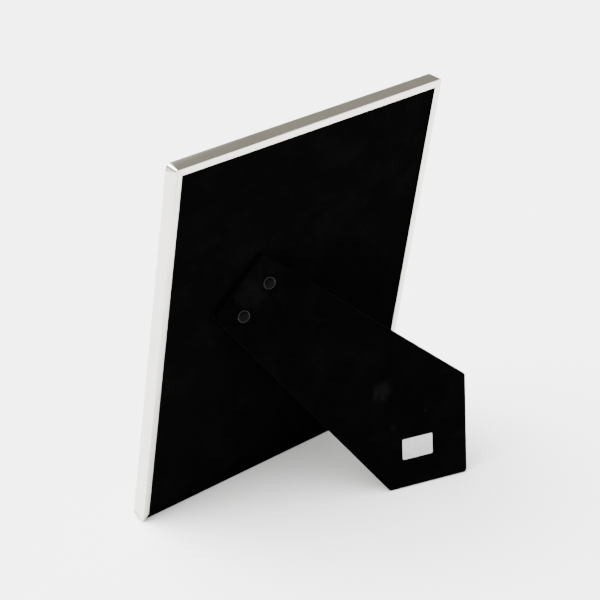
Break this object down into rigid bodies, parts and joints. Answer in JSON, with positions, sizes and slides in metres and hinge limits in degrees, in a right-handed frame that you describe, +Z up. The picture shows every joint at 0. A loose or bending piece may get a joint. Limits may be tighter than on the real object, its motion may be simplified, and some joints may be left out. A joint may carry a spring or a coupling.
{
  "type": "table photo frame",
  "caption": "Upright table photo frame with thin mitred polished metal rails, glass, a velvet-covered slide-in back and a folding velvet easel leg.",
  "frame": {"origin": "middle of the footprint on the table, under the frame's lower edge and the leg's foot", "axes": "+Z up; the picture side faces -Y and leans back towards +Y, where the leg is; +X is the frame's right seen from the picture side"},
  "size_m": [0.212, 0.1038, 0.2583],
  "materials": {
    "polished_silver": "polished silver plate on thin steel",
    "brace_steel": "plain steel",
    "clear_glass": "clear float glass",
    "print_paper": "satin print with a plain white picture area",
    "grey_card": "uncoated grey card",
    "board_fibre": "hard fibreboard",
    "black_velvet": "short-pile black velvet",
    "lining_paper": "matt black paper",
    "hinge_steel": "black lacquered steel",
    "rivet_steel": "plain steel",
    "rivet_black": "glossy black enamel",
    "label_silver": "satin silver foil, blank"
  },
  "bodies": {
    "frame": {"left_rail": "polished_silver", "right_rail": "polished_silver", "top_rail": "polished_silver", "bottom_rail": "polished_silver", "corner_brace_lower_left": "brace_steel", "corner_brace_lower_right": "brace_steel", "corner_brace_upper_left": "brace_steel", "corner_brace_upper_right": "brace_steel", "glass": "clear_glass", "photo_insert": "print_paper", "filler_card": "grey_card"},
    "back_panel": {"back_board": "board_fibre", "back_velvet": "black_velvet", "back_lining": "lining_paper", "hinge_board_leaf": "hinge_steel", "hinge_pin": "hinge_steel", "board_rivet_upper": "rivet_steel", "board_rivet_lower": "rivet_steel"},
    "leg": {"hinge_leg_leaf": "hinge_steel", "leg_rivet_upper": "rivet_black", "leg_rivet_lower": "rivet_black", "leg_board": "board_fibre", "leg_velvet": "black_velvet", "leg_lining": "lining_paper", "leg_label": "label_silver"}
  },
  "joints": [
    {"name": "back_slide", "type": "slide", "parent": "frame", "child": "back_panel", "axis": [0, -0.1493, -0.9888], "range_m": [0, 0.262]},
    {"name": "leg_fold", "type": "hinge", "parent": "back_panel", "child": "leg", "pos_m": [0.0426, -0.01865, 0.15392], "axis": [-0.7071, 0.1055, 0.6992], "range_deg": [0, 24.1]}
  ]
}
